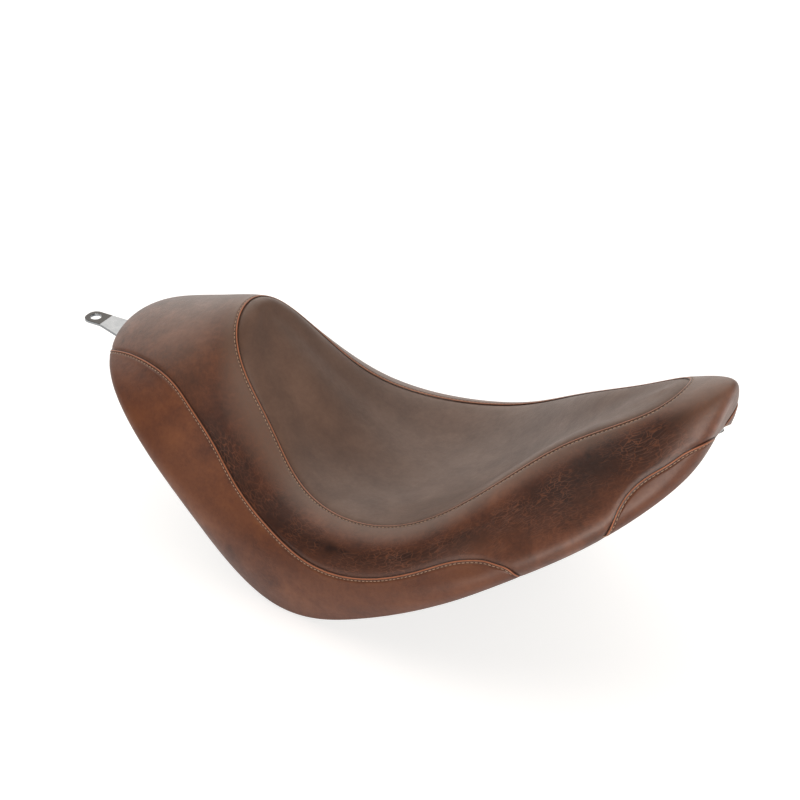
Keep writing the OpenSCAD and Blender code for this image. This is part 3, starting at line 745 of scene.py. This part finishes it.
skirt_pair("skirt", skirt_path, [("skirt", "over"), ("rear_join", "join")])
skirt_pair("nose_skirt", nose_path, [("nose", "over")])

# ---- The stitching ----

PITCH, STITCH, THREAD_R = 4.6 * MM, 3.3 * MM, 0.42 * MM


def offset_path(path, distance):
    """The (t, v) path moved sideways along the cover, towards the rim for a positive distance."""
    t, v = path[:, 0], path[:, 1]
    dt, dv = slopes(COVER, t, v)
    here = surface(COVER, t, v)
    along = unit(np.gradient(here, axis=0))
    side = unit(np.cross(np.cross(dt, dv), along))
    side *= np.sign((side * dv).sum(1, keepdims=True)) * distance
    a, b, c = (dt * dt).sum(1), (dt * dv).sum(1), (dv * dv).sum(1)
    p, q = (dt * side).sum(1), (dv * side).sum(1)
    det = a * c - b * b
    return np.stack([t + (c * p - b * q) / det, v + (a * q - b * p) / det], 1)


def stitches(name, path, panel, replaces, mirror):
    """One row of short thread loops that dive into the leather at both ends."""
    tree = BVHTree.FromPolygons([tuple(p.co) for p in panel.data.vertices],
                                [tuple(f.vertices) for f in panel.data.polygons])
    flip = [1, -1 if mirror else 1, 1]
    points = on_cover(path) * flip
    ups = normal(COVER, path[:, 0], path[:, 1]) * flip
    s = arc(points)
    count = int(s[-1] / PITCH)
    rings, sides = 9, 7
    f = np.linspace(0, 1, rings)
    turn = np.linspace(0, 2 * math.pi, sides, endpoint=False)
    verts, faces, dive, flow = [], [], [], []
    pitch = s[-1] / count
    for k in range(count):
        at = k * pitch + (pitch - STITCH) / 2 + STITCH * f
        centre = np.stack([np.interp(at, s, points[:, i]) for i in range(3)], 1)
        up = unit(np.stack([np.interp(at, s, ups[:, i]) for i in range(3)], 1))
        placed = []
        for p, n in zip(centre, up):
            hit = tree.ray_cast(Vector(p + n * 6 * MM), Vector(-n), 12 * MM)[0]
            placed.append(np.array(hit) if hit else p)
        placed = np.array(placed)
        placed[1:-1] = (placed[:-2] + 2 * placed[1:-1] + placed[2:]) / 4
        placed += up * ((np.sin(math.pi * f) ** 0.6) * 1.1 - 0.72)[:, None] * THREAD_R
        forward = unit(np.gradient(placed, axis=0))
        side = unit(np.cross(up, forward))
        lift = np.cross(forward, side)
        radius = THREAD_R * (0.72 + 0.28 * np.sin(math.pi * f))
        ring = placed[:, None] + radius[:, None, None] * (np.cos(turn)[None, :, None] * side[:, None]
                                                           + np.sin(turn)[None, :, None] * lift[:, None])
        start = len(verts)
        verts += ring.reshape(-1, 3).tolist()
        # how much painted shade each ring gets, full where the thread dives in
        dive += np.repeat(np.clip(np.abs(2 * f - 1) * 3 - 2.1, 0, 1), sides).tolist()
        flow += np.stack([np.repeat(at, sides), np.tile(turn * THREAD_R, rings),
                          np.zeros(rings * sides)], 1).tolist()
        faces += grid_faces(rings, sides, False, True, start)
        faces += [list(range(start, start + sides))[::-1],
                  list(range(start + (rings - 1) * sides, start + rings * sides))]
    obj = add_mesh(name, verts, faces, thread, extra={"dive": dive, "flow": flow})
    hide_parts(*replaces)


def row_path(path):
    """A stitch row's path beside its seam, in short even steps."""
    return offset_path(even(path, 900), STITCH_AT * MM)


band = panels["side_band_leather"]
for side, flip in (("left", False), ("right", True)):
    stitches(f"centre_stitch_row_{side}", row_path(centre_path), band, ["centre_stitching"], mirror=flip)
# the skirts' rows stop a few steps short, where their seams run out
for side, flip in (("left", False), ("right", True)):
    stitches(f"skirt_stitch_row_{side}", row_path(skirt_path)[6:-14], panels[f"skirt_{side}_leather"],
             [f"skirt_stitching_{side}"], mirror=flip)
    stitches(f"nose_stitch_row_{side}", row_path(nose_path)[14:-14], panels[f"nose_skirt_{side}_leather"],
             [f"nose_stitching_{side}"], mirror=flip)

# ---- Pull strip, foam and pan ----

DOWN = np.array([0, 0, -MM])


def under(mesh, t, v, depth_mm):
    """A line at one v, this far below the cover or the pan."""
    v = np.full(len(t), float(v))
    return surface(mesh, t, v) - depth_mm * MM * normal(mesh, t, v)


def rounded(loops, times=2):
    """Corners of closed loops cut off, again and again, until they are round."""
    for _ in range(times):
        after = np.roll(loops, -1, 1)
        loops = np.stack([0.75 * loops + 0.25 * after, 0.25 * loops + 0.75 * after], 2)
        loops = loops.reshape(len(loops), -1, 3)
    return loops


ring_t = np.linspace(0, ROUND, 480, endpoint=False)
PAN_WALL, HEM, GAP = 4, 2, 0.2
LEG_V = PAN_RIM_V - 0.35
# The strip's outline, from the cover's edge round the pan's edge: (surface, v, mm below it, mm further down)
HEM_OUTLINE = [(COVER, RIM_V, 3.2, 1.0), (COVER, RIM_V, 3.0, 3.4), (PAN, PAN_RIM_V, PAN_WALL / 2, 3.75),
               (PAN, PAN_RIM_V, PAN_WALL + HEM, 3.7), (PAN, LEG_V + 0.08, PAN_WALL + GAP + HEM, 0),
               (PAN, LEG_V, PAN_WALL + GAP + HEM, 0), (PAN, LEG_V, PAN_WALL + GAP, 0),
               (PAN, PAN_RIM_V, PAN_WALL + GAP, 1.4), (PAN, PAN_RIM_V, 0, 1.6)]
hem_loops = rounded(np.stack([under(mesh, ring_t, v, depth) + drop * DOWN
                              for mesh, v, depth, drop in HEM_OUTLINE], 1))
hem_along = arc(hem_loops[:, 0])
hem_flow = np.stack([np.repeat(hem_along, hem_loops.shape[1]),
                     np.tile(arc(hem_loops[0]), len(hem_loops)), np.zeros(hem_loops[..., 0].size)], 1)
hem = add_mesh("pull_strip_vinyl", hem_loops.reshape(-1, 3), grid_faces(*hem_loops.shape[:2], True, True),
               pull_vinyl, extra={"flow": hem_flow})
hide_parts("hem_strip")


# The foam's distance from the cover's outer face and from the pan, and where its upper and lower faces end
FOAM_DEPTH_MM, FOAM_GAP_MM = 2.4, 0.4
FOAM_TOP_V, FOAM_PAN_V = 4.92, 3.98


def foam_block():
    """Moulded foam between the leather and the pan, as one closed crowned block."""
    t = np.linspace(0, ROUND, 240, endpoint=False)
    loops = [under(COVER, t, v, FOAM_DEPTH_MM) for v in np.linspace(0, FOAM_TOP_V, 40)]
    loops += [under(PAN, t, v, -FOAM_GAP_MM) for v in np.linspace(FOAM_PAN_V, 0, 24)]
    loops = np.stack(loops, 1)
    loops[:, [0, -1], 1] = 0
    obj = add_mesh("foam_block", loops.reshape(-1, 3), grid_faces(*loops.shape[:2], True, False),
                   foam_material, weld=WELD)
    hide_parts("foam_cushion")


foam_block()

# ---- CAD pieces that keep their shape ----


def dress(node, material, bevel_mm=0.0):
    """Gives a CAD piece its material and, where asked, softened edges."""
    obj = cad[node]
    obj.data.materials.clear()
    obj.data.materials.append(material)
    if bevel_mm:
        weld = obj.modifiers.new("weld", "WELD")
        weld.merge_threshold = 0.002 * MM
        bevel = obj.modifiers.new("edges", "BEVEL")
        bevel.width = bevel_mm * MM
        bevel.segments = 2
        bevel.limit_method = "ANGLE"
        bevel.angle_limit = 0.6


dress("base_pan", pan_plastic)
dress("rear_tab", chrome, 0.35)
for node in ("rear_backing_plate", "rear_bolts", "rear_washers", "rear_nuts", "front_tongue",
             "tongue_rivets", "bumper_screws"):
    dress(node, zinc, 0.25)
dress("hem_rivets", rivet_metal)
for node in cad:
    if node.startswith("bumper_") and node != "bumper_screws":
        dress(node, rubber, 0.5)

# ---- Studio ----

TARGET, DISTANCE = Vector((0.028, 0, 0.184)), 2.0
AZIMUTH, ELEVATION = math.radians(30), math.radians(32)
back = Vector((math.sin(AZIMUTH) * math.cos(ELEVATION), -math.cos(AZIMUTH) * math.cos(ELEVATION),
               math.sin(ELEVATION)))
lens = bpy.data.cameras.new("camera")
lens.lens, lens.sensor_width = 85, 36
camera = bpy.data.objects.new("camera", lens)
bpy.context.scene.collection.objects.link(camera)
camera.location = TARGET + back * DISTANCE
camera.rotation_euler = (-back).to_track_quat("-Z", "Y").to_euler()
bpy.context.scene.camera = camera
bpy.context.scene.view_settings.view_transform = "Standard"

FLOOR = 12.0
# How brightly the floor glows: for the light it gives off, and as the camera sees it
FLOOR_GLOW, FLOOR_SEEN = 0.3, 0.68
floor_mesh = bpy.data.meshes.new("floor")
floor_mesh.from_pydata([(-FLOOR, -FLOOR, 0), (FLOOR, -FLOOR, 0), (FLOOR, FLOOR, 0), (-FLOOR, FLOOR, 0)], [],
                       [(0, 1, 2, 3)])
floor = bpy.data.objects.new("floor", floor_mesh)
bpy.context.scene.collection.objects.link(floor)
floor_shader = Shader("floor", Roughness=0.9, Specular_IOR_Level=0.1)
paint = floor_shader.ramp(floor_shader.noise(3, 2),
                          (0.0, (0.54, 0.54, 0.54, 1)), (1.0, (0.56, 0.56, 0.56, 1)))
floor_mesh.materials.append(floor_shader.finish(paint))
floor_shader.out.inputs["Emission Color"].default_value = (1, 1, 1, 1)
# white to the eye, but it throws less light up under the rim than a white floor would
to_eye = floor_shader.put("ShaderNodeLightPath").outputs["Is Camera Ray"]
shine = floor_shader.span(to_eye, 0, 1, FLOOR_GLOW, FLOOR_SEEN)
floor_shader.feed(floor_shader.out.inputs["Emission Strength"], shine)

# The room: a broad bright wall and ceiling behind and to the rear, a low lamp in front and a dim side light.
# Each is (direction, where it starts, where it is full, brightness), over a nearly dark room.
LIGHTS = [((-0.56, 0.51, 0.65), 0.34, 0.95, 1.6), ((0.41, -0.91, 0.0), 0.68, 1.0, 4.8),
          ((0.86, 0.2, 0.46), 0.25, 1.0, 0.7)]
ROOM_DARK = 0.03
world = bpy.data.worlds.new("studio")
world.use_nodes = True
bpy.context.scene.world = world
wt = world.node_tree


def world_node(kind, inputs=(), **props):
    n = wt.nodes.new(kind)
    for key, value in props.items():
        setattr(n, key, value)
    for key, value in dict(inputs).items():
        if isinstance(value, bpy.types.NodeSocket):
            wt.links.new(value, n.inputs[key])
        else:
            n.inputs[key].default_value = value
    return n


def smooth_span(value, low, high, top):
    return world_node("ShaderNodeMapRange", {"Value": value, "From Min": low, "From Max": high,
                                             "To Min": 0.0, "To Max": top},
                      interpolation_type="SMOOTHSTEP").outputs[0]


heading = world_node("ShaderNodeTexCoord").outputs["Generated"]
glow = ROOM_DARK
for toward, start, full, power in LIGHTS:
    facing = world_node("ShaderNodeVectorMath", {0: heading, 1: toward},
                        operation="DOT_PRODUCT").outputs["Value"]
    glow = world_node("ShaderNodeMath", {0: smooth_span(facing, start, full, power), 1: glow}).outputs[0]
room = wt.nodes["Background"]
room.inputs["Color"].default_value = (1, 0.93, 0.86, 1)
wt.links.new(glow, room.inputs["Strength"])
sky = world_node("ShaderNodeBackground", {"Color": (1, 1, 1, 1), "Strength": 1.2})
seen = world_node("ShaderNodeLightPath")
chosen = world_node("ShaderNodeMixShader",
                    {0: seen.outputs["Is Camera Ray"], 1: room.outputs[0], 2: sky.outputs[0]})
wt.links.new(chosen.outputs[0], wt.nodes["World Output"].inputs[0])
